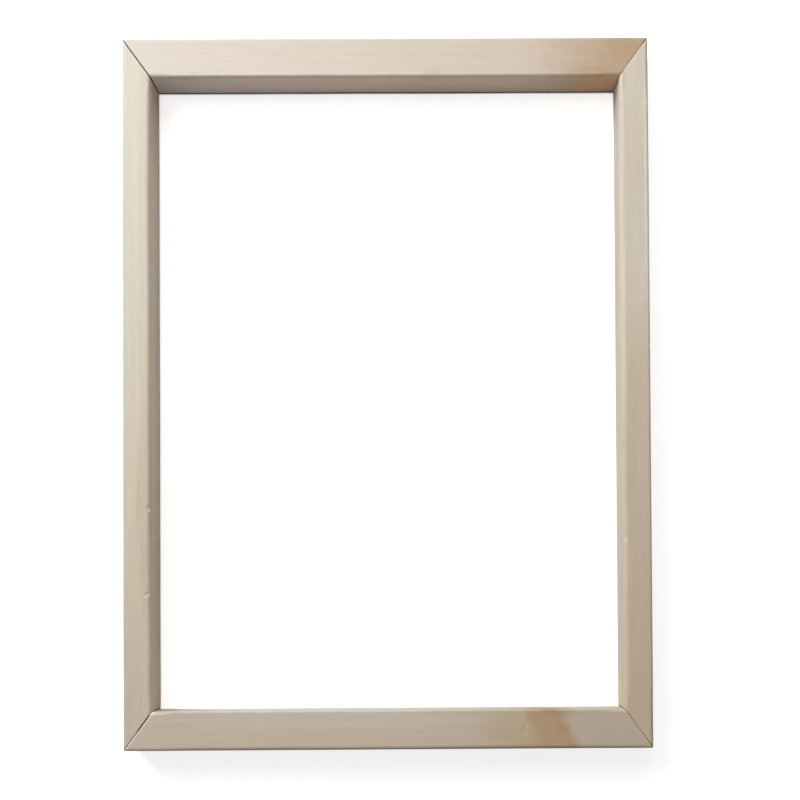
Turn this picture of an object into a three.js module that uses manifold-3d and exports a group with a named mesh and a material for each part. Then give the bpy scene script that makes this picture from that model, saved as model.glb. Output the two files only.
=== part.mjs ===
// A bare wooden screen printing frame: four mitred rails, held at each corner by two V-nails
// driven up from the back. Millimetres, +Z up. The frame lies on its back face, with its
// front face up and its top rail towards +Y. The origin is under its middle.

import * as THREE from 'three';
import * as BufferGeometryUtils from 'three/addons/utils/BufferGeometryUtils.js';
import Module from 'manifold-3d';

const wasm = await Module();
wasm.setup();

// Frame
const FRAME_WIDTH = 296; // outside, along X
const FRAME_LENGTH = 400; // outside, along Y
const FRAME_DEPTH = 25; // along Z
const SIDE_RAIL_WIDTH = 16; // face of the left and right rails
const END_RAIL_WIDTH = 22; // face of the top and bottom rails

// Rail section
const FRONT_ARRIS_RADIUS = 2.2;
const BACK_ARRIS_RADIUS = 2;
const ARRIS_SEGMENTS = 6;

// Mitre joints
const MITRE_GAP = 0.4; // between the two faces of a joint
const MITRE_LENGTH = Math.hypot(SIDE_RAIL_WIDTH, END_RAIL_WIDTH);
const MITRE_ANGLE = Math.atan2(END_RAIL_WIDTH, SIDE_RAIL_WIDTH); // from the end rail's length

// V-nails
const NAIL_LEG = 6;
const NAIL_THICKNESS = 0.8;
const NAIL_HEIGHT = 12;
const NAIL_HALF_ANGLE = THREE.MathUtils.degToRad(42);
const NAIL_RECESS = 0.3; // below the back face
const NAIL_CLEARANCE = 0.3; // round each nail in its slot
const SLOT_OVERSHOOT = 1; // of the slot's cut past the back face
const NAIL_STATIONS = [
  { place: 'outer', along: 0.28 },
  { place: 'inner', along: 0.62 },
]; // apex, as a share of the mitre's length from the outer corner

const nailSteel = new THREE.MeshStandardMaterial({ color: 0xa9adb0, roughness: 0.38, metalness: 1 });

function paleWood(color, roughness) {
  return new THREE.MeshStandardMaterial({ color, roughness, metalness: 0 });
}

// Joins and cuts need closed meshes whose shared vertices are merged.
function toSolid(geometry) {
  const bare = geometry.clone();
  bare.deleteAttribute('normal');
  bare.deleteAttribute('uv');
  const merged = BufferGeometryUtils.mergeVertices(bare);
  const mesh = new wasm.Mesh({
    numProp: 3,
    vertProperties: new Float32Array(merged.attributes.position.array),
    triVerts: new Uint32Array(merged.index.array),
  });
  return new wasm.Manifold(mesh);
}

function toGeometry(solid) {
  const mesh = solid.getMesh();
  const geometry = new THREE.BufferGeometry();
  geometry.setAttribute('position', new THREE.BufferAttribute(mesh.vertProperties, mesh.numProp));
  geometry.setIndex(new THREE.BufferAttribute(mesh.triVerts, 1));
  geometry.computeVertexNormals();
  return geometry;
}

// The rail's section: X runs inwards from the outer side, Y up from the back face.
function railSection(width) {
  const front = FRONT_ARRIS_RADIUS;
  const back = BACK_ARRIS_RADIUS;
  const right = 0;
  const up = Math.PI / 2;
  const left = Math.PI;
  const down = 1.5 * Math.PI;
  const section = new THREE.Shape();
  section.absarc(back, back, back, left, down);
  section.absarc(width - back, back, back, down, 2 * Math.PI);
  section.absarc(width - front, FRAME_DEPTH - front, front, right, up);
  section.absarc(front, FRAME_DEPTH - front, front, up, left);
  section.closePath();
  return section;
}

// A rail in its own frame: outer side on X = 0, length along Y, mitred at both ends.
function railBlank(width, length, neighbourWidth) {
  const blank = new THREE.ExtrudeGeometry(railSection(width), {
    depth: length,
    steps: 1,
    bevelEnabled: false,
    curveSegments: ARRIS_SEGMENTS,
  });
  blank.rotateX(Math.PI / 2).translate(0, length / 2, 0);
  const slope = neighbourWidth / width;
  const setback = (MITRE_GAP / 2) * Math.hypot(1, slope);
  const position = blank.attributes.position;
  for (let i = 0; i < position.count; i += 1) {
    const y = position.getY(i);
    position.setY(i, y - Math.sign(y) * (slope * position.getX(i) + setback));
  }
  return blank;
}

// Plan of a V-nail: its apex at the origin, its legs opening along +X.
function nailPlan(leg, thickness) {
  const half = thickness / 2;
  const cos = Math.cos(NAIL_HALF_ANGLE);
  const sin = Math.sin(NAIL_HALF_ANGLE);
  const outerTip = [leg * cos - half * sin, leg * sin + half * cos];
  const innerTip = [leg * cos + half * sin, leg * sin - half * cos];
  const plan = new THREE.Shape();
  plan.moveTo(-half / sin, 0);
  plan.lineTo(outerTip[0], -outerTip[1]);
  plan.lineTo(innerTip[0], -innerTip[1]);
  plan.lineTo(half / sin, 0);
  plan.lineTo(innerTip[0], innerTip[1]);
  plan.lineTo(outerTip[0], outerTip[1]);
  plan.closePath();
  return plan;
}

function nailBody() {
  const plan = nailPlan(NAIL_LEG, NAIL_THICKNESS);
  return new THREE.ExtrudeGeometry(plan, { depth: NAIL_HEIGHT, steps: 1, bevelEnabled: false });
}

// The slot that a nail stands in, open through the back face.
function nailSlot() {
  const plan = nailPlan(NAIL_LEG + NAIL_CLEARANCE, NAIL_THICKNESS + 2 * NAIL_CLEARANCE);
  const below = NAIL_RECESS + SLOT_OVERSHOOT;
  const depth = below + NAIL_HEIGHT + NAIL_CLEARANCE;
  const slot = new THREE.ExtrudeGeometry(plan, { depth, steps: 1, bevelEnabled: false });
  return slot.translate(0, 0, -below);
}

const frame = new THREE.Group();

// Each corner's group stands on the outer corner, with +X along the mitre towards the inside.
const corners = [
  { name: 'top_left', x: -1, y: 1 },
  { name: 'top_right', x: 1, y: 1 },
  { name: 'bottom_left', x: -1, y: -1 },
  { name: 'bottom_right', x: 1, y: -1 },
];
const nails = [];
for (const corner of corners) {
  const group = new THREE.Group();
  group.position.set((corner.x * FRAME_WIDTH) / 2, (corner.y * FRAME_LENGTH) / 2, 0);
  group.rotation.z = Math.atan2(-corner.y * Math.sin(MITRE_ANGLE), -corner.x * Math.cos(MITRE_ANGLE));
  frame.add(group);
  for (const station of NAIL_STATIONS) {
    const nail = new THREE.Mesh(nailBody(), nailSteel);
    nail.name = `v_nail_${corner.name}_${station.place}`;
    nail.position.set(station.along * MITRE_LENGTH, 0, NAIL_RECESS);
    group.add(nail);
    nails.push(nail);
  }
}
frame.updateMatrixWorld(true);

const sideRail = { width: SIDE_RAIL_WIDTH, length: FRAME_LENGTH, neighbourWidth: END_RAIL_WIDTH };
const endRail = { width: END_RAIL_WIDTH, length: FRAME_WIDTH, neighbourWidth: SIDE_RAIL_WIDTH };
const rails = [
  { name: 'left_rail', ...sideRail, at: [-FRAME_WIDTH / 2, 0], turn: 0, wood: paleWood(0xd8cab6, 0.62) },
  { name: 'right_rail', ...sideRail, at: [FRAME_WIDTH / 2, 0], turn: 180, wood: paleWood(0xcfc4b0, 0.62) },
  { name: 'top_rail', ...endRail, at: [0, FRAME_LENGTH / 2], turn: -90, wood: paleWood(0xdcd0be, 0.6) },
  { name: 'bottom_rail', ...endRail, at: [0, -FRAME_LENGTH / 2], turn: 90, wood: paleWood(0xc9bba4, 0.64) },
];
const slot = nailSlot();
for (const { name, width, length, neighbourWidth, at, turn, wood } of rails) {
  const rail = new THREE.Mesh(undefined, wood);
  rail.name = name;
  rail.position.set(at[0], at[1], 0);
  rail.rotation.z = THREE.MathUtils.degToRad(turn);
  frame.add(rail);
  rail.updateMatrixWorld(true);
  const toRail = rail.matrixWorld.clone().invert();
  let solid = toSolid(railBlank(width, length, neighbourWidth));
  for (const nail of nails) {
    const place = toRail.clone().multiply(nail.matrixWorld);
    solid = solid.subtract(toSolid(slot.clone().applyMatrix4(place)));
  }
  rail.geometry = toGeometry(solid);
}

export default frame;
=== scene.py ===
"""The looks of a bare wooden screen printing frame: mitred rails of pale planed softwood, held by
steel V-nails driven in from the back.

Metres, in the CAD frame: the frame lies on its back face with its front face up and its top rail
towards +Y. Every rail and nail is built in mesh code round the CAD node that it stands for.
"""

import functools
import math

import bmesh
import bpy
from mathutils import Matrix, Vector, noise


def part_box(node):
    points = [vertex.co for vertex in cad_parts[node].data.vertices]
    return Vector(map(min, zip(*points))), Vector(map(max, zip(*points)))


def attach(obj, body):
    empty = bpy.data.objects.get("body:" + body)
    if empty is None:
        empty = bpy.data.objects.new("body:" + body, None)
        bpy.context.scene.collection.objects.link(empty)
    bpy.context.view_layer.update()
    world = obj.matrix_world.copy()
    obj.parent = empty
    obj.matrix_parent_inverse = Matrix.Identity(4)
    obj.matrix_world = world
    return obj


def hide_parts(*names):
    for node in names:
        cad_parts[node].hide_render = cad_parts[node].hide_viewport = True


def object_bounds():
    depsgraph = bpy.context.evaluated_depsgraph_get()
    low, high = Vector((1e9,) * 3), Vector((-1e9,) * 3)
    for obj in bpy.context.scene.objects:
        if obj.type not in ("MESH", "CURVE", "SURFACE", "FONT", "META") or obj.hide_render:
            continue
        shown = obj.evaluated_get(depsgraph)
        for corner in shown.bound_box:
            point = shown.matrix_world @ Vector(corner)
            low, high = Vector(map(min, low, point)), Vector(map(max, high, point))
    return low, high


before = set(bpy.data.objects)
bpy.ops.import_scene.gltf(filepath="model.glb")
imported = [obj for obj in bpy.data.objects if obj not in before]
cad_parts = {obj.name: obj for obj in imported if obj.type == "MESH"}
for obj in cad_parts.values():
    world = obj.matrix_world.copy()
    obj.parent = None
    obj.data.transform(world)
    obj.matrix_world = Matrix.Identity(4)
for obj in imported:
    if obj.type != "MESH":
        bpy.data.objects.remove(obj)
CAD_LOW, CAD_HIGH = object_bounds()

MM = 0.001
WIDTH, LENGTH, DEPTH = CAD_HIGH - CAD_LOW


def node_size(node):
    """A CAD node's size along X, Y and Z."""
    low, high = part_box(node)
    return high - low


SIDE_WIDTH = node_size("left_rail").x
END_WIDTH = node_size("top_rail").y

# Rail section. Radii are in millimetres, and the two front ones are the outer and the inner one.
FRONT_RADII = {
    "left_rail": (2.0, 2.6),
    "right_rail": (1.5, 2.8),
    "top_rail": (2.2, 1.3),
    "bottom_rail": (2.4, 0.9),
}
CORNER_RADII = (2.0, 2.0)  # both rails of a corner come to these where they meet
CORNER_BLEND = 16 * MM  # how far along a rail its own section takes to replace the shared one
BACK_RADIUS = 2.0
UNDERCUT = {"bottom_rail": 0.9}  # how far the foot of a rail's inner side is planed back, in mm
RADIUS_WANDER = 0.10  # share of the radius that hand sanding takes or leaves along the rail
RADIUS_WANDER_REACH = 38 * MM
PLANING_WANDER = 0.06 * MM  # how far the faces dip between their high spots
PLANING_WANDER_REACH = 24 * MM
RADIUS_SEED_STEP = 11  # between the seeds of a rail's four arrises
PLANING_SEED = 5

# The arrises of a section, clockwise from the outer front one: on the inner side, on the front
# face, and where its arc starts (degrees).
ARRISES = ((False, True, 180), (True, True, 90), (True, False, 0), (False, False, -90))
ARC_STEPS = 8  # round each arris
FRONT_STEP = 0.5 * MM  # across the front face
PLAIN_STEP = 1.5 * MM  # across the other faces
STATION_STEP = 3.0 * MM  # along a rail
DENT_STEPS = 5  # over half of a dent's length
CLOSEST_STATIONS = 0.2 * MM
STRAIGHT_MARGIN = 8 * MM  # from the mitre's inner end to the first square station
# How square each ring between a mitre and the first square station lies: 0 at the mitre.
END_SHARES = (
    0.015, 0.03, 0.05, 0.075, 0.1, 0.13, 0.16, 0.2, 0.25, 0.31, 0.38, 0.46, 0.55, 0.65, 0.76, 0.88,
)
EDGE_STEPS = 3  # round each cut edge

# Half the width of each open mitre in millimetres, at shares of the way from the outer corner (0)
# to the inner one (1).
MITRE_OPENING = {
    "top_left": ((0, 0.03), (0.05, 0.06), (0.12, 0.25), (0.5, 0.27), (1, 0.26)),
    "top_right": ((0, 0.22), (0.14, 0.18), (0.26, 0.03), (1, 0.02)),
    "bottom_left": ((0, 0.14), (0.44, 0.13), (0.54, 0.32), (0.88, 0.34), (0.94, 0.05), (1, 0.04)),
    "bottom_right": ((0, 0.16), (0.3, 0.09), (1, 0.10)),
}
# How far each rail's cut edges are rounded over, in millimetres, at its start and its end.
BROKEN_EDGES = {
    "left_rail": (0.15, 0.65),
    "right_rail": (0.6, 0.15),
    "top_rail": (0.12, 0.10),
    "bottom_rail": (0.2, 0.7),
}
TIP_SHARE = 0.3  # how much of that rounding the outer corner has
TIP_REACH = 0.12  # share of the rail's width over which it grows to the whole

# Dents: the rail, where (mm, in the CAD frame), reach along X, Y and Z (mm), and depth (mm).
DENTS = {
    "left_rail": [
        ((-133.6, -64.4, 24.6), (1.6, 2.4, 1.8), 0.36),
        ((-133.0, -67.4, 24.8), (1.1, 1.3, 1.2), 0.22),
        ((-134.0, -112.6, 24.8), (1.6, 1.8, 1.4), 0.35),
    ],
    "right_rail": [
        ((133.2, -83.2, 24.4), (1.3, 2.2, 1.5), 0.40),
        ((147.8, 25.0, 23.5), (1.4, 1.6, 1.6), 0.35),
    ],
    "top_rail": [((31.0, 179.0, 24.3), (6.0, 1.2, 1.4), 0.22)],
    "bottom_rail": [
        ((76.2, -189.4, 25.0), (2.4, 3.2, 0.8), 0.18),
        ((-131.6, -178.6, 24.4), (2.0, 1.4, 1.6), 0.3),
    ],
}

# V-nails, millimetres
NAIL_LEG = 5.6
NAIL_THICKNESS = 0.7
NAIL_HALF_ANGLE = math.radians(42)
NAIL_BEND_RADIUS = 0.9
NAIL_CURL = math.radians(22)  # how far each tip turns outwards
NAIL_CURL_LENGTH = 1.2
NAIL_BEND_STEPS = 6  # round half of the bend
NAIL_LEG_STEPS = 4  # along the straight of a leg
NAIL_CURL_STEPS = 5  # round a curled tip
NAIL_BACK_BEVEL = 0.07
NAIL_CHISEL = 1.4  # height of the sharpened leading edge
NAIL_CHISEL_EDGE = 0.08
NAIL_SLOT_PLAY = 0.05
NAIL_SLOT_BELOW = 1  # how far a slot's cutter starts below the back face
NAIL_CRUSH = 0.12  # how far the wood is pushed in round each nail
NAIL_CRUSH_REACH = 1.5
NAIL_CRUSH_MARGIN = 2  # how far past the first square station the crushed wood may reach
CORNERS = {
    "top_left": (-1, 1),
    "top_right": (1, 1),
    "bottom_left": (-1, -1),
    "bottom_right": (1, -1),
}
NAIL_PLACES = ("outer", "inner")

BACK_FACING = -0.9  # a normal's Z on the back face is below this
STEEL_CREASE = math.radians(25)  # edges that turn further than this look sharp
WOOD_CREASE = math.radians(32)

# Where the wood's attributes change, in metres
ARRIS_REACH = 2.4 * MM  # how far from an edge of the section its wear reaches
CUT_ROUND = 3 * MM  # no arris is rounder than this
CUT_DEPTH = 0.6 * MM  # a face further inside the section than this crosses the grain


def mesh_object(name, mesh):
    """A new object round a mesh, in the scene."""
    made = bpy.data.objects.new(name, mesh)
    bpy.context.scene.collection.objects.link(made)
    return made


def join_rings(made, low, high):
    """A band of faces between two rings of vertices."""
    for i in range(len(low)):
        j = (i + 1) % len(low)
        made.faces.new((low[i], low[j], high[j], high[i]))


def finished_mesh(made, name):
    """A mesh from a closed bmesh, facing outwards."""
    bmesh.ops.recalc_face_normals(made, faces=made.faces)
    mesh = bpy.data.meshes.new(name)
    made.to_mesh(mesh)
    made.free()
    return mesh


def stand_for(piece, node):
    """Puts a piece on the one body, in place of its CAD node."""
    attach(piece, "root")
    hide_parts(node)


# ---------------------------------------------------------------- nails

def nail_line(leg):
    """A nail's middle line in plan, in millimetres: (point, direction) from tip to tip, with its
    bend at the origin and its legs opening along +X."""
    bend = math.pi / 2 - NAIL_HALF_ANGLE
    half = []
    for i in range(NAIL_BEND_STEPS + 1):
        turn = bend * i / NAIL_BEND_STEPS
        spot = NAIL_BEND_RADIUS * Vector((1 - math.cos(turn), math.sin(turn)))
        half.append((spot, Vector((math.sin(turn), math.cos(turn)))))
    bend_end, direction = half[-1]
    straight = leg - NAIL_CURL_LENGTH - NAIL_BEND_RADIUS * bend
    for i in range(1, NAIL_LEG_STEPS + 1):
        half.append((bend_end + direction * straight * i / NAIL_LEG_STEPS, direction))
    for i in range(1, NAIL_CURL_STEPS + 1):
        angle = NAIL_HALF_ANGLE + NAIL_CURL * i / NAIL_CURL_STEPS
        along = Vector((math.cos(angle), math.sin(angle)))
        half.append((half[-1][0] + along * NAIL_CURL_LENGTH / NAIL_CURL_STEPS, along))
    mirrored = [
        (Vector((point.x, -point.y)), Vector((-along.x, along.y))) for point, along in half[:0:-1]
    ]
    return mirrored + half


def nail_mesh(name, leg, profile):
    """A closed band: a profile of (offset across the line, height) carried along a nail's line."""
    made = bmesh.new()
    rings = []
    for point, along in nail_line(leg):
        side = Vector((along.y, -along.x))
        ring = [(*(point + side * offset), height) for offset, height in profile]
        rings.append([made.verts.new(spot) for spot in ring])
    for low, high in zip(rings, rings[1:]):
        join_rings(made, low, high)
    made.faces.new(rings[0])
    made.faces.new(reversed(rings[-1]))
    return finished_mesh(made, name)


def nail_profile(low, high):
    """The section of a nail: a softly sheared back edge and a chisel point on the leading one."""
    half = NAIL_THICKNESS / 2
    bevel = NAIL_BACK_BEVEL
    right = [
        (half - bevel, low),
        (half, low + bevel),
        (half, high - NAIL_CHISEL),
        (NAIL_CHISEL_EDGE, high),
    ]
    return right + [(-offset, height) for offset, height in reversed(right)]


def slot_profile(high):
    """The section of the slot that a nail has cut, open through the back face."""
    half = NAIL_THICKNESS / 2 + NAIL_SLOT_PLAY
    low = -NAIL_SLOT_BELOW
    return [(half, low), (half, high), (-half, high), (-half, low)]


def nail_matrix(corner, node):
    """From a nail's own axes, in millimetres, to the frame's: its bend towards the outer corner,
    and the middle of its box on the middle of the CAD nail's."""
    x, y = CORNERS[corner]
    angle = math.atan2(-y * END_WIDTH, -x * SIDE_WIDTH)
    turn = Matrix.Rotation(angle, 4, "Z") @ Matrix.Scale(MM, 4)
    spots = [turn @ Vector((*point, 0)) for point, _ in nail_line(NAIL_LEG)]
    own = [(min(s[k] for s in spots) + max(s[k] for s in spots)) / 2 for k in (0, 1)]
    low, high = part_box(node)
    move = ((low.x + high.x) / 2 - own[0], (low.y + high.y) / 2 - own[1], 0)
    return Matrix.Translation(move) @ turn


NAILS = {}  # node: (corner, matrix)
for corner in CORNERS:
    for place in NAIL_PLACES:
        node = f"v_nail_{corner}_{place}"
        NAILS[node] = (corner, nail_matrix(corner, node))


def make_nail(node, steel):
    """A nail in place of its CAD node."""
    _, matrix = NAILS[node]
    low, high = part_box(node)
    mesh = nail_mesh(node, NAIL_LEG, nail_profile(low.z / MM, high.z / MM))
    mesh.transform(matrix)
    mesh.materials.append(steel)
    mesh.shade_smooth()
    mesh.set_sharp_from_angle(angle=STEEL_CREASE)
    stand_for(mesh_object(node + "_steel", mesh), node)


# ---------------------------------------------------------------- rails

# turn: from the rail's own axes (X inwards from its outer side, Y along it) to the frame's.
# start and end: the corners at the rail's low and high Y.
RAILS = {
    "left_rail": dict(turn=0, width=SIDE_WIDTH, length=LENGTH, neighbour=END_WIDTH,
                      outer=(CAD_LOW.x, 0), start="bottom_left", end="top_left"),
    "right_rail": dict(turn=180, width=SIDE_WIDTH, length=LENGTH, neighbour=END_WIDTH,
                       outer=(CAD_HIGH.x, 0), start="top_right", end="bottom_right"),
    "top_rail": dict(turn=-90, width=END_WIDTH, length=WIDTH, neighbour=SIDE_WIDTH,
                     outer=(0, CAD_HIGH.y), start="top_left", end="top_right"),
    "bottom_rail": dict(turn=90, width=END_WIDTH, length=WIDTH, neighbour=SIDE_WIDTH,
                        outer=(0, CAD_LOW.y), start="bottom_right", end="bottom_left"),
}


def rail_matrix(rail):
    """From a rail's own axes to the frame's."""
    x, y = rail["outer"]
    return Matrix.Translation((x, y, 0)) @ Matrix.Rotation(math.radians(rail["turn"]), 4, "Z")


def section(width, radii):
    """Points (across, up) and outward normals round a rail's section, clockwise from its outer
    front arris. radii are those of the outer front, inner front, inner back and outer back."""
    centres = [
        Vector((width - radius if inner else radius, DEPTH - radius if front else radius))
        for radius, (inner, front, _) in zip(radii, ARRISES)
    ]
    spans = (width, DEPTH, width, DEPTH)
    steps = (FRONT_STEP, PLAIN_STEP, PLAIN_STEP, PLAIN_STEP)
    ring = []
    for k, (_, _, start) in enumerate(ARRISES):
        for i in range(ARC_STEPS + 1):
            angle = math.radians(start - 90 * i / ARC_STEPS)
            normal = Vector((math.cos(angle), math.sin(angle)))
            ring.append((centres[k] + radii[k] * normal, normal))
        first, normal = ring[-1]
        following = (k + 1) % len(ARRISES)
        last = centres[following] + radii[following] * normal
        count = round(spans[k] / steps[k])
        for i in range(1, count):
            ring.append((first.lerp(last, i / count), normal))
    return ring


def half_gap(corner, share):
    """Half the opening of a mitre, at a share of the way from the outer to the inner corner."""
    places = MITRE_OPENING[corner]
    for (low, low_gap), (high, high_gap) in zip(places, places[1:]):
        if share <= high:
            part = max(0, (share - low) / (high - low))
            return (low_gap + (high_gap - low_gap) * part) * MM
    return places[-1][1] * MM


def mitre_at(rail, end, across):
    """Where along the rail a mitre cut lies, at a distance across it. end is -1 or 1."""
    slope = rail["neighbour"] / rail["width"]
    corner = rail["end"] if end > 0 else rail["start"]
    setback = half_gap(corner, across / rail["width"]) * math.hypot(1, slope)
    return end * (rail["length"] / 2 - slope * across - setback)


def wander(point, reach, seed):
    """Smooth noise from -1 to 1 that changes over about reach, its own for each seed."""
    return noise.noise(point / reach + Vector((seed, 2.7 * seed, -1.3 * seed)))


def smooth(part):
    """A share from 0 to 1, eased at both ends."""
    part = min(1, max(0, part))
    return part * part * (3 - 2 * part)


def away_from_corner(name, place):
    """0 at a rail's mitres and 1 where its own section has taken over from the shared one."""
    rail = RAILS[name]
    return smooth((rail["length"] / 2 - rail["neighbour"] - abs(place)) / CORNER_BLEND)


def arris_radii(name, place, seed):
    """The four arris radii at a place along a rail: outer front, inner front, inner back and
    outer back."""
    own = away_from_corner(name, place)
    radii = [mean * (1 - own) + mine * own for mean, mine in zip(CORNER_RADII, FRONT_RADII[name])]
    radii += [BACK_RADIUS, BACK_RADIUS]
    for i, radius in enumerate(radii):
        waver = wander(Vector((place, 0, 0)), RADIUS_WANDER_REACH, seed + RADIUS_SEED_STEP * i)
        radii[i] = radius * (1 + own * RADIUS_WANDER * waver) * MM
    return radii


def local_dents(name):
    """A rail's dents in its own axes: centre, reach and depth."""
    turn = Matrix.Rotation(math.radians(-RAILS[name]["turn"]), 3, "Z")
    to_rail = rail_matrix(RAILS[name]).inverted()
    for at, reach, depth in DENTS[name]:
        turned = Vector(map(abs, turn @ Vector(reach)))
        yield to_rail @ (Vector(at) * MM), turned * MM, depth * MM


def stations(rail, dents):
    """Square stations along a rail, closer together where it is dented."""
    last = rail["length"] / 2 - rail["neighbour"] - STRAIGHT_MARGIN
    count = round(2 * last / STATION_STEP)
    places = [last * (2 * i / count - 1) for i in range(count + 1)]
    for at, reach, _ in dents:
        for i in range(-DENT_STEPS - 1, DENT_STEPS + 2):
            place = at.y + i * reach.y / DENT_STEPS
            if abs(place) < last:
                places.append(place)
    kept = []
    for place in sorted(places):
        if not kept or place - kept[-1] > CLOSEST_STATIONS:
            kept.append(place)
    return kept


def nail_distance(spot, lines):
    """How far a spot in plan lies from the nearest nail's middle line."""
    return min((spot - point).length for line in lines for point in line)


def nail_lines(rail):
    """The middle lines of the nails at a rail's two ends, in plan in the rail's own axes."""
    to_rail = rail_matrix(rail).inverted()
    lines = []
    for corner, nail in NAILS.values():
        if corner in (rail["start"], rail["end"]):
            line = [to_rail @ nail @ Vector((*point, 0)) for point, _ in nail_line(NAIL_LEG)]
            lines.append([Vector((point.x, point.y, 0)) for point in line])
    return lines


def dent_depth(spot, dents):
    """How far the dents push a spot in."""
    push = 0.0
    for at, reach, depth in dents:
        away = spot - at
        far = math.sqrt(sum((away[k] / reach[k]) ** 2 for k in range(3)))
        if far < 1:
            push += depth * (1 - far * far) ** 2
    return push


def set_back(name, end, part, across):
    """Where along a rail its cut end lies once part of its edge's rounding is taken off."""
    rail = RAILS[name]
    broken = BROKEN_EDGES[name][end > 0] * MM
    share = TIP_SHARE + (1 - TIP_SHARE) * smooth(across / rail["width"] / TIP_REACH)
    return mitre_at(rail, end, across) - end * (broken * share) * part


def tapered(name, end, first, share, across):
    """A place between a rail's cut end and its first square station, at a share of the way."""
    return set_back(name, end, 1, across) * (1 - share) + first * share


def end_rings(name, end, first):
    """The rings from a rail's cut end to its first square station: where each lies along the rail,
    as a function of the distance across it, and how far it is inset."""
    broken = BROKEN_EDGES[name][end > 0] * MM
    rings = []
    for i in range(EDGE_STEPS + 1):
        angle = math.pi / 2 * i / EDGE_STEPS
        along_at = functools.partial(set_back, name, end, 1 - math.cos(angle))
        rings.append((along_at, broken * (1 - math.sin(angle))))
    for share in END_SHARES:
        rings.append((functools.partial(tapered, name, end, first, share), 0.0))
    return rings


def rail_ring(name, seed, place, along_at, inset):
    """A ring of a rail's surface: (spot, outward normal) in the rail's own axes."""
    rail = RAILS[name]
    undercut = UNDERCUT.get(name, 0) * MM
    ring = []
    for point, normal in section(rail["width"], arris_radii(name, place, seed)):
        across, up = point - inset * normal
        across -= undercut * across / rail["width"] * (1 - up / DEPTH)
        spot = Vector((across, along_at(across), up))
        dip = PLANING_WANDER * (0.5 + 0.5 * wander(spot, PLANING_WANDER_REACH, seed + PLANING_SEED))
        out = Vector((normal.x, 0, normal.y))
        ring.append((spot - dip * out, out))
    return ring


def rail_mesh(name, seed):
    """A rail's closed mesh in the frame's axes: lofted, mitred, dented, and crushed at its nails."""
    rail = RAILS[name]
    dents = list(local_dents(name))
    square = stations(rail, dents)
    tip = rail["length"] / 2
    rings = [
        rail_ring(name, seed, -tip, along_at, inset)
        for along_at, inset in end_rings(name, -1, square[0])
    ]
    rings += [rail_ring(name, seed, place, lambda across: place, 0.0) for place in square]
    rings += [
        rail_ring(name, seed, tip, along_at, inset)
        for along_at, inset in reversed(end_rings(name, 1, square[-1]))
    ]

    lines = nail_lines(rail)
    crush_from = square[-1] - NAIL_CRUSH_MARGIN * MM
    matrix = rail_matrix(rail)
    made = bmesh.new()
    verts = []
    for ring in rings:
        verts.append([])
        for spot, out in ring:
            push = dent_depth(spot, dents)
            if out.z < BACK_FACING and abs(spot.y) > crush_from:
                far = nail_distance(Vector((spot.x, spot.y, 0)), lines) / (NAIL_CRUSH_REACH * MM)
                push += NAIL_CRUSH * MM * (1 - smooth(far))
            verts[-1].append(made.verts.new(matrix @ (spot - out * push)))
    for low, high in zip(verts, verts[1:]):
        join_rings(made, low, high)
    made.faces.new(reversed(verts[0]))
    made.faces.new(verts[-1])
    return finished_mesh(made, name)


def cut_slots(piece, rail):
    """Cuts the slot of every nail at a rail's two ends."""
    cutters = []
    for node, (corner, matrix) in NAILS.items():
        if corner not in (rail["start"], rail["end"]):
            continue
        _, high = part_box(node)
        profile = slot_profile(high.z / MM + NAIL_SLOT_PLAY)
        slot = nail_mesh(node + "_slot", NAIL_LEG + NAIL_SLOT_PLAY, profile)
        slot.transform(matrix)
        cutters.append(mesh_object(node + "_slot", slot))
        cut = piece.modifiers.new("slot", "BOOLEAN")
        cut.solver = "EXACT"
        cut.object = cutters[-1]
    graph = bpy.context.evaluated_depsgraph_get()
    mesh = bpy.data.meshes.new_from_object(piece.evaluated_get(graph))
    piece.modifiers.clear()
    piece.data = mesh
    for cutter in cutters:
        bpy.data.objects.remove(cutter)


def paint(mesh, name):
    """Attributes for the wood: arris is 1 on the rounded edges and 0 on the flats, and cut is 1 on
    faces that cross the grain, in a mitre or a nail's slot."""
    rail = RAILS[name]
    to_rail = rail_matrix(rail).inverted()

    def depths(spot):
        """How deep a spot lies in the section, from its nearer side and its nearer face."""
        lost = UNDERCUT.get(name, 0) * MM / rail["width"] * (1 - spot.z / DEPTH)
        across = spot.x / (1 - lost)
        return min(across, rail["width"] - across), min(spot.z, DEPTH - spot.z)

    arris = mesh.attributes.new("arris", "FLOAT", "POINT")
    for i, vertex in enumerate(mesh.vertices):
        aside, above = depths(to_rail @ vertex.co)
        arris.data[i].value = max(0, 1 - math.hypot(aside, above) / ARRIS_REACH)
    cut = mesh.attributes.new("cut", "FLOAT", "FACE")
    for i, face in enumerate(mesh.polygons):
        aside, above = depths(to_rail @ face.center)
        rounding = math.hypot(max(0, CUT_ROUND - aside), max(0, CUT_ROUND - above))
        inside = CUT_ROUND - rounding if rounding else min(aside, above)
        cut.data[i].value = float(inside > CUT_DEPTH)


# ---------------------------------------------------------------- materials

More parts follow.
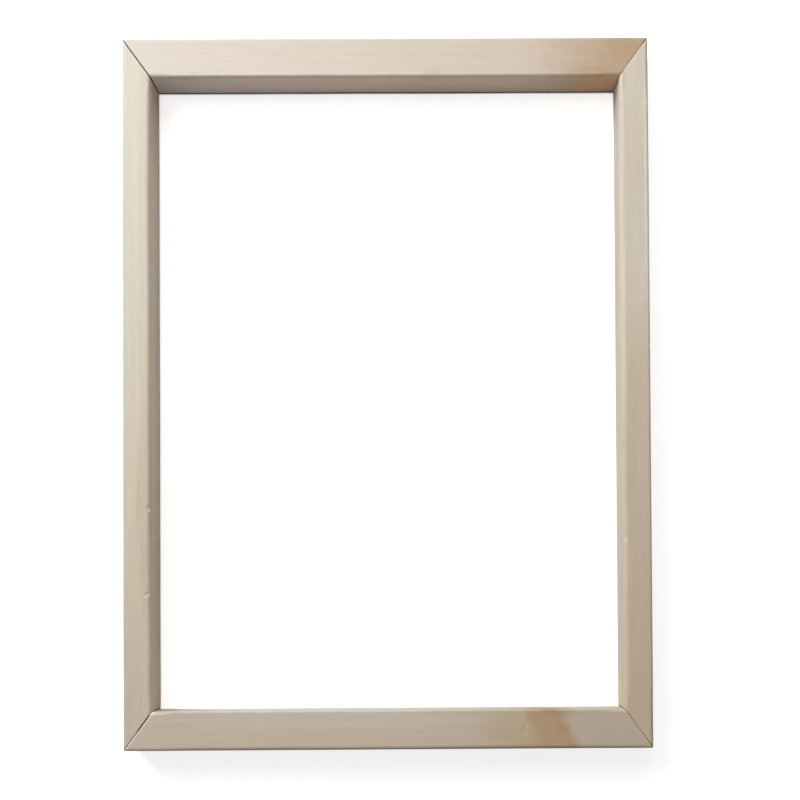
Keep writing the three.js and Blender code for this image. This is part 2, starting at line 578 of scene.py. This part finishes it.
class Shading:
    """A material, with short ways to add nodes to it."""

    def __init__(self, name):
        self.material = bpy.data.materials.new(name)
        self.material.use_nodes = True
        self.tree = self.material.node_tree
        self.shader = self.tree.nodes["Principled BSDF"]

    def feed(self, socket, value):
        """Gives a socket a value or another node's output."""
        if isinstance(value, bpy.types.NodeSocket):
            self.tree.links.new(value, socket)
        else:
            socket.default_value = value

    def node(self, kind, inputs, **settings):
        """A new node, with its settings and inputs."""
        made = self.tree.nodes.new("ShaderNode" + kind)
        for name, value in settings.items():
            setattr(made, name, value)
        for key, value in inputs.items():
            self.feed(made.inputs[key], value)
        return made

    def math(self, operation, *values):
        """The result of a maths node."""
        return self.node("Math", dict(enumerate(values)), operation=operation).outputs[0]

    def sum(self, value, *terms):
        """A value with each (value, scale) term added to it."""
        for term, scale in terms:
            value = self.math("ADD", value, self.math("MULTIPLY", term, scale))
        return value

    def vector(self, operation, *values):
        """The result of a vector maths node."""
        made = self.node("VectorMath", dict(enumerate(values)), operation=operation)
        return made.outputs["Value" if operation == "LENGTH" else "Vector"]

    def noise(self, at, reach, detail=2.0, roughness=0.5):
        """Smooth noise round 0.5 that changes over about reach, along X, Y and Z."""
        made = self.node("TexNoise", {"Vector": self.vector("DIVIDE", at, reach), "Scale": 1.0})
        made.inputs["Detail"].default_value = detail
        made.inputs["Roughness"].default_value = roughness
        return made.outputs[0]

    def step(self, value, low, high):
        """0 below low and 1 above high, smoothly."""
        ends = {"Value": value, "From Min": low, "From Max": high}
        return self.node("MapRange", ends, interpolation_type="SMOOTHSTEP").outputs[0]

    def ramp(self, value, stops):
        """A colour ramp through (position, colour) stops."""
        made = self.node("ValToRGB", {"Fac": value})
        elements = made.color_ramp.elements
        elements[0].position, elements[1].position = stops[0][0], stops[-1][0]
        for position, color in stops[1:-1]:
            elements.new(position)
        for element, (position, color) in zip(elements, stops):
            element.color = (*color, 1)
        return made.outputs[0]

    def blend(self, factor, first, second, kind="MIX"):
        """Two colours mixed by a factor."""
        made = self.node("Mix", {0: factor}, data_type="RGBA", blend_type=kind)
        for socket, color in ((made.inputs[6], first), (made.inputs[7], second)):
            self.feed(socket, color if isinstance(color, bpy.types.NodeSocket) else (*color, 1))
        return made.outputs[2]

    def tint(self, color, factor, by):
        """A colour multiplied by another, as far as the factor says."""
        return self.blend(factor, color, by, "MULTIPLY")


# Each rail's timber: the tree's pith from its outer back edge, across and up (mm), the width of a
# year's ring (mm), how much of the rings' contrast shows on the front face, how the grain leans
# out of the rail, and the wood's tone at its start, middle and end.
TIMBER = {
    "left_rail": dict(pith=(-30, -62), ring=2.7, figure=0.75, lean=(0.010, 0.006),
                      tones=((0.773, 0.653, 0.517), (0.777, 0.722, 0.585), (0.730, 0.700, 0.582))),
    "right_rail": dict(pith=(38, -50), ring=2.3, figure=0.4, lean=(-0.008, 0.010),
                       tones=((0.825, 0.736, 0.615), (0.768, 0.651, 0.505), (0.734, 0.605, 0.453))),
    "top_rail": dict(pith=(-70, -20), ring=2.5, figure=0.25, lean=(0.006, -0.008),
                     tones=((0.755, 0.672, 0.603), (0.786, 0.681, 0.575), (0.787, 0.652, 0.545))),
    "bottom_rail": dict(pith=(20, -75), ring=2.9, figure=0.45, lean=(0.009, 0.004),
                        tones=((0.709, 0.597, 0.470), (0.805, 0.657, 0.534), (0.752, 0.622, 0.511))),
}
# Stains and changes of tone, with some painted highlights and painted shade among them: the soft
# spots that they fill between them, each as where and reach (mm, in the CAD frame) and how much of
# the reach fades, and the tint.
STAINS_AND_PAINTED_LIGHT = {
    "left_rail": [
        ([((-135.3, 40, 25), (4.8, 240, 6), 0.4)], (0.985, 0.925, 0.925)),
        ([((-135.0, -62, 25), (5.2, 80, 6), 0.4)], (0.95, 0.935, 0.935)),
        ([((-139.4, -66, 25), (1.1, 34, 4), 0.9)], (0.96, 0.91, 0.91)),
        ([((-147, -165, 26), (7, 60, 7), 0.7)], (0.90, 0.97, 0.99)),
        ([((-147.7, 0, 25.2), (2.6, 260, 2.8), 0.6)], (0.85, 0.91, 1.01)),
        ([((-131.5, 130, 12), (4, 75, 16), 0.7)], (1.08, 1.0, 1.0)),
        ([((-131.5, 170, 12), (4, 70, 18), 0.85)], (0.95, 0.80, 0.78)),
        ([((-131.5, 20, 12), (4, 200, 16), 0.6)], (1.06, 0.98, 0.98)),
        ([((-131.5, -110, 12), (4, 90, 16), 0.6)], (0.98, 0.94, 0.93)),
        # painted highlight: the pale rim of the dent here, where it catches the lamps
        ([((-132.9, -65.9, 25), (1.5, 1.9, 2.4), 0.8)], (1.20, 1.19, 1.18)),
    ],
    "right_rail": [
        ([((141, 72, 25), (9, 62, 8), 0.8)], (1.05, 1.09, 1.13)),
        # painted shade: the upper part of the inner side darkened, where the top rail shades it
        ([((131.5, 130, 9), (3.5, 130, 15), 0.6)], (0.82, 0.83, 0.86)),
        ([((131.5, 10, 9), (3.5, 70, 15), 0.8)], (0.90, 0.93, 0.98)),
        ([((131.5, -110, 9), (3.5, 170, 15), 0.7)], (0.93, 1.02, 1.12)),
        ([((133.6, 140, 24), (2.2, 90, 5), 0.7)], (0.88, 0.90, 0.92)),
        ([((133.6, -35, 24), (2.2, 50, 5), 0.7)], (0.95, 0.94, 0.90)),
        # painted light: these two lighten and cool the outer front arris, where it turns away from
        # the lamps
        ([((147.4, 120, 25.4), (3.2, 110, 4), 0.7)], (1.10, 1.17, 1.29)),
        ([((147.8, -60, 25.2), (2, 170, 3), 0.6)], (1.06, 1.10, 1.19)),
        # painted highlight: the pale rim of the dent here, where it catches the lamps
        ([((133.3, -83.4, 24), (1.3, 2.4, 1.6), 0.6)], (1.12, 1.14, 1.18)),
    ],
    "top_rail": [
        ([((142, 186, 14), (72, 50, 40), 0.55)], (0.85, 0.80, 0.70)),
        ([((136, 192, 18), (26, 26, 26), 0.8)], (0.92, 0.83, 0.75)),
        ([((117, 180.4, 25), (19, 6, 8), 0.8)], (0.96, 0.88, 0.82)),
        ([((27, 180, 22), (7, 5, 8), 0.9)], (0.96, 0.89, 0.84)),
        ([((-20, 177.5, 10), (140, 3.5, 14), 0.5)], (1.02, 0.96, 0.97)),
        ([((60, 177.5, 12), (80, 3.5, 16), 0.5)], (0.94, 0.95, 0.92)),
        ([((119, 177.5, 12), (17, 3.5, 16), 0.5)], (1.03, 0.88, 0.70)),
        ([((0, 199.8, 25.2), (170, 3.2, 3), 0.7)], (0.84, 0.97, 1.06)),
        # painted highlight: a pale line along the inner front arris, where it catches the lamps
        ([((0, 179.5, 25.2), (190, 1.0, 1.6), 0.8)], (1.06, 1.07, 1.07)),
        # painted shade: a darker line along the top of the inner side, just under the arris
        ([((0, 177.9, 23.0), (190, 1.2, 1.7), 0.8)], (0.86, 0.86, 0.83)),
    ],
    "bottom_rail": [
        ([((76, -192, 20), (36, 30, 34), 0.7)], (0.95, 0.91, 0.81)),
        ([((72, -204, 24), (35.5, 35.5, 60), 0.14), ((102, -178, 24), (30, 30, 60), 0.45)],
         (0.93, 0.79, 0.68)),
        ([((95, -178.5, 22), (13, 5, 12), 0.8)], (0.84, 0.78, 0.72)),
        ([((81, -181.5, 24), (6, 5, 14), 0.9)], (0.94, 0.90, 0.86)),
        ([((84, -200, 24), (20, 12, 30), 0.9)], (1.0, 0.94, 0.85)),
        ([((97.5, -187, 24), (6, 9, 14), 0.9)], (0.93, 0.88, 0.83)),
        ([((103, -197.5, 24), (6, 7, 14), 0.9)], (0.95, 0.86, 0.76)),
        ([((40, -178, 22), (58, 5, 12), 0.9)], (0.99, 0.96, 0.92)),
        ([((0, -178.3, 12), (230, 3.2, 20), 0.5)], (0.94, 1.10, 1.24)),
        ([((-30, -183, 25), (130, 7, 12), 0.7)], (1.0, 1.07, 1.06)),
        # painted shade: the outer front arris darkened along the rail, where it turns away from the
        # lamps
        ([((0, -200.4, 24), (190, 2.1, 4.2), 0.8)], (0.54, 0.56, 0.60)),
        # painted highlight: the pale rim of the dent here, where it catches the lamps
        ([((-131.4, -178.6, 24.4), (2.6, 1.7, 2.4), 0.7)], (1.16, 1.15, 1.14)),
    ],
}
# Scratches on the front face: from and to (mm, in the CAD frame), and how strong.
SCRATCHES = {
    "left_rail": [
        ((-137.0, -115.4), (-132.8, -111.3), 1.0),
        ((-140.6, -118.4), (-137.8, -116.2), 0.5),
    ],
    "right_rail": [],
    "top_rail": [],
    "bottom_rail": [
        ((76.4, -188.6), (78.2, -185.4), 0.9),
        ((74.2, -192.0), (76.0, -189.2), 0.45),
    ],
}
SCRATCH_WIDTH = 0.7  # how far a scratch reaches to each side of its middle line, in mm
SCRATCH_HEIGHT = 4  # how far it reaches above and below the front face, in mm
SCRATCH_RAGGED = 0.8  # how uneven its edge is, as a share of those
# How each rail's cut edges are tinted, at its start and its end: paler as painted highlight where a
# rounded cut edge faces the lamps, darker where glue darkens it.
EDGE_HIGHLIGHT_AND_GLUE_TINTS = {
    "left_rail": ((0.94, 0.92, 0.90), (1.15, 1.10, 1.13)),
    "right_rail": ((1.13, 1.08, 1.06), (0.96, 0.94, 0.92)),
    "top_rail": ((1.02, 1.01, 1.0), (0.91, 0.89, 0.86)),
    "bottom_rail": ((1.08, 1.06, 1.04), (1.34, 1.36, 1.40)),
}
TONE_PLACES = (0.08, 0.5, 0.92)  # shares of a rail's length where it has its three tones
OUTSIDE_FIGURE = 1.1  # how much more the rings show on the outer side and the back
FACE_BAND = (0.3, 2.5)  # depths between which a face's figure gives way to its neighbour's, in mm
LATE_WOOD = ((0, 0), (0.35, 0.06), (0.82, 0.72), (0.93, 1), (1, 0.02))  # (share of a year, dark)
RING_WARP = 9  # how far the rings wander, in mm
UNEVEN_YEARS = 3.0  # how many rings' width the narrow and wide years gain or lose

# How far each kind of mark reaches across, along and up, in mm
RING_WARP_REACH = (45, 150, 45)
FIGURE_REACH = (10, 130, 10)
FIBRE_REACH = (0.34, 16, 0.34)
STREAK_REACH = (1.4, 80, 1.4)
DRIFT_REACH = (9, 90, 9)
CANAL_REACH = (1.5, 11, 1.5)
STAIN_EDGE_REACH = (8, 8, 8)
SMEAR_REACH = (2.5, 2.5, 2.5)
HANDLED_REACH = (5, 5, 5)
RAGGED_REACH = (0.5, 0.5, 0.5)

LATE_TINT = (0.885, 0.825, 0.735)
DRIFT_TINTS = ((1.0, 0.99, 0.95), (0.98, 0.985, 1.0))
CANAL_TINT = (0.70, 0.56, 0.42)
END_GRAIN_TINT = (0.52, 0.40, 0.30)
WORN_TINT = (0.935, 0.91, 0.87)
SCRATCH_TINT = (1.22, 1.25, 1.27)
STEEL_COLORS = ((0.50, 0.50, 0.49), (0.72, 0.72, 0.71))
TARNISH_TINT = (0.62, 0.54, 0.45)


def growth_rings(wood, spot, timber):
    """How far each place is into a year's dark late wood, from 0 to 1."""
    lean_across, lean_up = timber["lean"]
    across, up = timber["pith"]
    from_pith = wood.node("Mapping", {
        "Vector": spot,
        "Location": (-across, 0, -up),
        "Rotation": (lean_up, 0, lean_across),
    }).outputs[0]
    slow = wood.vector("DIVIDE", spot, RING_WARP_REACH)
    warp = wood.node("TexNoise", {"Vector": slow, "Scale": 1.0, "Detail": 1.5}).outputs[1]
    warp = wood.vector("SUBTRACT", warp, (0.5, 0.5, 0.5))
    warp = wood.vector("MULTIPLY", warp, (RING_WARP, RING_WARP, RING_WARP))
    flat = wood.vector("MULTIPLY", wood.vector("ADD", from_pith, warp), (1, 0, 1))
    years = wood.math("DIVIDE", wood.vector("LENGTH", flat), timber["ring"])
    uneven = wood.node("TexNoise", {"W": years, "Scale": 0.45, "Detail": 2.0}, noise_dimensions="1D")
    years = wood.sum(years, (uneven.outputs[0], UNEVEN_YEARS))
    stops = [(share, (dark, dark, dark)) for share, dark in LATE_WOOD]
    late = wood.ramp(wood.math("FRACT", years), stops)
    year = wood.math("FLOOR", years)
    shade = wood.node("TexWhiteNoise", {"W": year}, noise_dimensions="1D").outputs[0]
    return wood.math("MULTIPLY", late, wood.step(shade, -0.6, 1.1))


def ring_contrast(wood, spot, axes, figure):
    """How strongly the rings show: in patches, more on the outer side and the back, and on the
    front face only as far as the rail's figure says."""
    near, far = FACE_BAND
    outside = wood.math("MAXIMUM", wood.step(axes["X"], far, near), wood.step(axes["Z"], far, near))
    front = wood.step(axes["Z"], DEPTH / MM - far, DEPTH / MM - near)
    shown = wood.math("MULTIPLY_ADD", outside, OUTSIDE_FIGURE, 1.0)
    shown = wood.math("SUBTRACT", shown, wood.math("MULTIPLY", front, 1 - figure))
    return wood.math("MULTIPLY", wood.noise(spot, FIGURE_REACH, 1), shown)


def resin_canals(wood, spot):
    """Short dark dashes along the grain: 1 in the middle of each."""
    cells = wood.vector("DIVIDE", spot, CANAL_REACH)
    canals = wood.node("TexVoronoi", {"Vector": cells, "Scale": 1.0})
    random = wood.node("SeparateColor", {0: canals.outputs["Color"]}).outputs[0]
    few = wood.math("LESS_THAN", random, 0.16)
    return wood.math("MULTIPLY", wood.step(canals.outputs["Distance"], 0.14, 0.06), few)


def patch(wood, place, uneven, at, reach, fade):
    """A soft spot, 1 in its middle and 0 beyond its reach, with an uneven edge."""
    away = wood.vector("DIVIDE", wood.vector("SUBTRACT", place, at), reach)
    far = wood.math("ADD", wood.vector("LENGTH", away), uneven)
    return wood.step(far, 1.0, 1.0 - fade)


def scratch(wood, place, start, end):
    """A broken line on the front face: 1 along its middle."""
    run = Vector(end) - Vector(start)
    along = wood.node("Mapping", {
        "Vector": place,
        "Location": (*start, DEPTH / MM),
        "Rotation": (0, 0, math.atan2(run.y, run.x)),
    }, vector_type="TEXTURE").outputs[0]
    centred = wood.vector("SUBTRACT", along, (run.length / 2, 0, 0))
    far = wood.vector("DIVIDE", centred, (run.length / 2, SCRATCH_WIDTH, SCRATCH_HEIGHT))
    ragged = wood.noise(place, RAGGED_REACH, 2)
    ragged = wood.math("MULTIPLY_ADD", ragged, SCRATCH_RAGGED, -SCRATCH_RAGGED / 2)
    return wood.step(wood.math("ADD", wood.vector("LENGTH", far), ragged), 1.0, 0.35)


def with_stains_and_painted_light(wood, color, place, stain_and_light_spots):
    """A colour with its stain spots over it, some of which are painted highlights and painted shade.
    """
    uneven = wood.math("MULTIPLY_ADD", wood.noise(place, STAIN_EDGE_REACH, 3), 0.24, -0.12)
    for spots, tint in stain_and_light_spots:
        masks = [patch(wood, place, uneven, *spot) for spot in spots]
        mask = masks[0]
        for other in masks[1:]:
            mask = wood.math("MULTIPLY", mask, other)
        color = wood.tint(color, mask, tint)
    return color


def scratched(wood, color, place, scratches):
    """A colour with pale scratches over it, and where they are."""
    marks = 0.0
    for start, end, strength in scratches:
        mark = wood.math("MULTIPLY", scratch(wood, place, start, end), strength)
        color = wood.tint(color, mark, SCRATCH_TINT)
        marks = wood.math("MAXIMUM", marks, mark)
    return color, marks


def beside_mitres(wood, rail, spot, axes):
    """1 at a rail's cut edges, fading over an uneven distance."""
    slope = rail["neighbour"] / rail["width"]
    ends = wood.math("SUBTRACT", rail["length"] / MM / 2, wood.math("ABSOLUTE", axes["Y"]))
    ends = wood.math("SUBTRACT", ends, wood.math("MULTIPLY", axes["X"], slope))
    to_mitre = wood.math("DIVIDE", ends, math.hypot(1, slope))
    smear = wood.math("MULTIPLY_ADD", wood.noise(spot, SMEAR_REACH, 3), 2.2, 0.6)
    return wood.step(to_mitre, smear, 0.4)


def rail_wood(name):
    """Pale planed softwood with its grain along the rail."""
    rail, timber = RAILS[name], TIMBER[name]
    wood = Shading(name + "_wood")
    here = wood.node("TexCoord", {}).outputs["Object"]
    place = wood.vector("MULTIPLY", here, (1 / MM, 1 / MM, 1 / MM))
    to_rail = rail_matrix(rail).inverted()
    spot = wood.node("Mapping", {
        "Vector": place,
        "Location": to_rail.translation / MM,
        "Rotation": (0, 0, math.radians(-rail["turn"])),
    }).outputs[0]
    arris = wood.node("Attribute", {}, attribute_name="arris").outputs["Fac"]
    cut = wood.node("Attribute", {}, attribute_name="cut").outputs["Fac"]
    axes = wood.node("SeparateXYZ", {0: spot}).outputs

    late = growth_rings(wood, spot, timber)
    fibre = wood.noise(spot, FIBRE_REACH, 3, 0.65)
    streak = wood.noise(spot, STREAK_REACH, 2)
    drift = wood.noise(spot, DRIFT_REACH, 1)
    canal = resin_canals(wood, spot)

    along = wood.math("MULTIPLY_ADD", axes["Y"], 1 / (rail["length"] / MM), 0.5)
    color = wood.ramp(along, list(zip(TONE_PLACES, timber["tones"])))
    contrast = ring_contrast(wood, spot, axes, timber["figure"])
    color = wood.tint(color, wood.math("MULTIPLY", late, contrast), LATE_TINT)
    color = wood.tint(color, 1.0, wood.blend(drift, *DRIFT_TINTS))
    grey = wood.sum(wood.math("MULTIPLY", fibre, 0.28), (streak, 0.07))
    color = wood.tint(color, 1.0, wood.math("ADD", grey, 0.83))
    color = wood.tint(color, wood.math("MULTIPLY", canal, 0.55), CANAL_TINT)
    # real stains and tone, with painted highlights and painted shade among them
    color = with_stains_and_painted_light(wood, color, place, STAINS_AND_PAINTED_LIGHT[name])

    joint = beside_mitres(wood, rail, spot, axes)
    at_end = wood.math("GREATER_THAN", axes["Y"], 0.0)
    # cut edges: tints above 1 are painted highlight, tints below 1 are glue
    color = wood.tint(color, joint, wood.blend(at_end, *EDGE_HIGHLIGHT_AND_GLUE_TINTS[name]))
    color = wood.tint(color, cut, END_GRAIN_TINT)
    handled = wood.noise(place, HANDLED_REACH, 3)
    worn = wood.math("MULTIPLY", arris, wood.step(handled, 0.40, 0.62))
    color = wood.tint(color, worn, WORN_TINT)
    color, marks = scratched(wood, color, place, SCRATCHES[name])

    rough = wood.math("MULTIPLY_ADD", fibre, 0.26, 0.47)
    rough = wood.sum(rough, (late, -0.06), (worn, -0.12), (cut, 0.2))

    # The planer's ripple crosses the grain. Heights are in millimetres.
    ripple = wood.math("MULTIPLY_ADD", streak, 9, wood.math("MULTIPLY", axes["Y"], 2.3))
    ripple = wood.math("SINE", ripple)
    height = wood.math("MULTIPLY", fibre, 0.065)
    height = wood.sum(height, (streak, 0.04), (late, 0.02), (ripple, 0.003))
    height = wood.sum(height, (canal, -0.05), (cut, 0.05), (marks, -0.12))
    bump = wood.node("Bump", {"Strength": 0.7, "Distance": MM, "Height": height})

    wood.feed(wood.shader.inputs["Base Color"], color)
    wood.feed(wood.shader.inputs["Roughness"], rough)
    wood.feed(wood.shader.inputs["Normal"], bump.outputs[0])
    wood.shader.inputs["Specular IOR Level"].default_value = 0.35
    return wood.material


def nail_steel():
    """Bright steel strip with a rolled grain, a little tarnished."""
    steel = Shading("nail_steel")
    here = steel.node("TexCoord", {}).outputs["Object"]
    place = steel.vector("MULTIPLY", here, (1 / MM, 1 / MM, 1 / MM))
    rolled = steel.noise(place, (0.9, 0.9, 0.03), 3)
    tarnish = steel.noise(place, (0.7, 0.7, 1.6), 4)
    color = steel.blend(rolled, *STEEL_COLORS)
    color = steel.tint(color, steel.step(tarnish, 0.45, 0.75), TARNISH_TINT)
    rough = steel.math("MULTIPLY_ADD", rolled, 0.22, steel.math("MULTIPLY_ADD", tarnish, 0.25, 0.14))
    height = steel.math("MULTIPLY", rolled, 0.02)
    bump = steel.node("Bump", {"Strength": 0.4, "Distance": MM, "Height": height})
    steel.feed(steel.shader.inputs["Base Color"], color)
    steel.feed(steel.shader.inputs["Roughness"], rough)
    steel.feed(steel.shader.inputs["Normal"], bump.outputs[0])
    steel.shader.inputs["Metallic"].default_value = 1
    return steel.material


# ---------------------------------------------------------------- stage, lights and camera

CAMERA_AT = Vector((0.0154, -0.1021, 0.7103))
CAMERA_YAW = -0.0055
CAMERA_PITCH = 0.0156
CAMERA_ROLL = -0.0057
CAMERA_SENSOR = 36
CAMERA_LENS = 55.2
CAMERA_SHIFT = (-0.0275, 0.1938)


def make_camera():
    """The scene's camera, over the frame at the photo's viewing angle."""
    data = bpy.data.cameras.new("camera")
    data.sensor_width = CAMERA_SENSOR
    data.lens = CAMERA_LENS
    data.shift_x, data.shift_y = CAMERA_SHIFT
    camera = bpy.data.objects.new("camera", data)
    bpy.context.scene.collection.objects.link(camera)
    turn = Matrix.Rotation(CAMERA_YAW, 4, "Y") @ Matrix.Rotation(CAMERA_PITCH, 4, "X")
    camera.matrix_world = Matrix.Translation(CAMERA_AT) @ turn @ Matrix.Rotation(CAMERA_ROLL, 4, "Z")
    bpy.context.scene.camera = camera


FLOOR_SIZE = 6
FLOOR_DROP = 0.1 * MM  # keeps the floor clear of the frame's back
FLOOR_LIFT = 0.70  # how far the floor glows for the camera alone
FLOOR_COLOR = (0.86, 0.86, 0.85)
# The floor's painted contact shadow: its colour, its width, and where it is dark.
CONTACT_SHADOW_COLOR = (0.10, 0.085, 0.07)
CONTACT_REACH = 1.6 * MM  # width of the dark line under an edge turned away from the windows
CONTACT_OPENNESS = (0.46, 0.80)  # where that line is dark, and where the floor is open
WINDOW_SIDE = (-0.35, 0.72, 0.60)


def make_floor():
    """A pale floor that looks nearly white, with light shadows, and a painted dark contact shadow
    under edges turned away from the windows.
    """
    made = bmesh.new()
    bmesh.ops.create_grid(made, x_segments=1, y_segments=1, size=FLOOR_SIZE)
    mesh = bpy.data.meshes.new("floor")
    made.to_mesh(mesh)
    made.free()
    floor = mesh_object("floor", mesh)
    floor.location.z = -FLOOR_DROP
    pale = Shading("pale_floor")
    pale.shader.inputs["Roughness"].default_value = 0.9
    pale.shader.inputs["Emission Color"].default_value = (1, 1, 1, 1)
    windows = pale.node("CombineXYZ", dict(enumerate(WINDOW_SIDE))).outputs[0]
    # painted contact shadow: dark base colour and no glow where an edge stands close on the windows'
    # side
    near = pale.node("AmbientOcclusion", {"Distance": CONTACT_REACH, "Normal": windows}, samples=8)
    open_floor = pale.step(near.outputs["AO"], *CONTACT_OPENNESS)
    color = pale.blend(open_floor, CONTACT_SHADOW_COLOR, FLOOR_COLOR)
    pale.feed(pale.shader.inputs["Base Color"], color)
    seen = pale.node("LightPath", {}).outputs["Is Camera Ray"]
    lift = pale.math("MULTIPLY", pale.math("MULTIPLY", seen, open_floor), FLOOR_LIFT)
    pale.feed(pale.shader.inputs["Emission Strength"], lift)
    mesh.materials.append(pale.material)


# Soft round lights aimed at the frame: where each hangs, and its watts.
LIGHTS = {
    "high_window": ((-0.50, 0.45, 0.80), 3.7),
    "low_window": ((-0.75, 0.65, 0.55), 5.2),
    "far_window": ((0.0, 0.75, 0.75), 2.0),
}
LIGHT_SIZE = 0.5
WORLD_LIGHT = 0.216  # how strongly the surroundings light the frame
WORLD_SEEN = 0.885  # how bright they look to the camera


def make_light(name, at, watts):
    """A round light that faces the frame's middle."""
    data = bpy.data.lights.new(name, "AREA")
    data.shape = "DISK"
    data.size = LIGHT_SIZE
    data.energy = watts
    light = bpy.data.objects.new(name, data)
    bpy.context.scene.collection.objects.link(light)
    light.location = at
    light.rotation_euler = (-Vector(at)).to_track_quat("-Z", "Y").to_euler()


def make_world():
    """White surroundings: bright to the camera, and dimmer as light on the frame."""
    world = bpy.data.worlds.new("studio")
    world.use_nodes = True
    nodes, links = world.node_tree.nodes, world.node_tree.links
    background = nodes["Background"]
    background.inputs["Color"].default_value = (1, 1, 1, 1)
    seen = nodes.new("ShaderNodeLightPath")
    strength = nodes.new("ShaderNodeMapRange")
    strength.inputs["To Min"].default_value = WORLD_LIGHT
    strength.inputs["To Max"].default_value = WORLD_SEEN
    links.new(seen.outputs["Is Camera Ray"], strength.inputs["Value"])
    links.new(strength.outputs[0], background.inputs["Strength"])
    bpy.context.scene.world = world


# ---------------------------------------------------------------- the scene

def make_rail(name, seed):
    """A rail in place of its CAD node."""
    piece = mesh_object(name + "_wood", rail_mesh(name, seed))
    cut_slots(piece, RAILS[name])
    paint(piece.data, name)
    piece.data.materials.clear()
    piece.data.materials.append(rail_wood(name))
    piece.data.shade_smooth()
    piece.data.set_sharp_from_angle(angle=WOOD_CREASE)
    stand_for(piece, name)


make_camera()
for seed, name in enumerate(RAILS, 1):
    make_rail(name, seed)
steel = nail_steel()
for node in NAILS:
    make_nail(node, steel)

make_floor()
make_world()
for name, (at, watts) in LIGHTS.items():
    make_light(name, at, watts)
bpy.context.scene.view_settings.view_transform = "Standard"
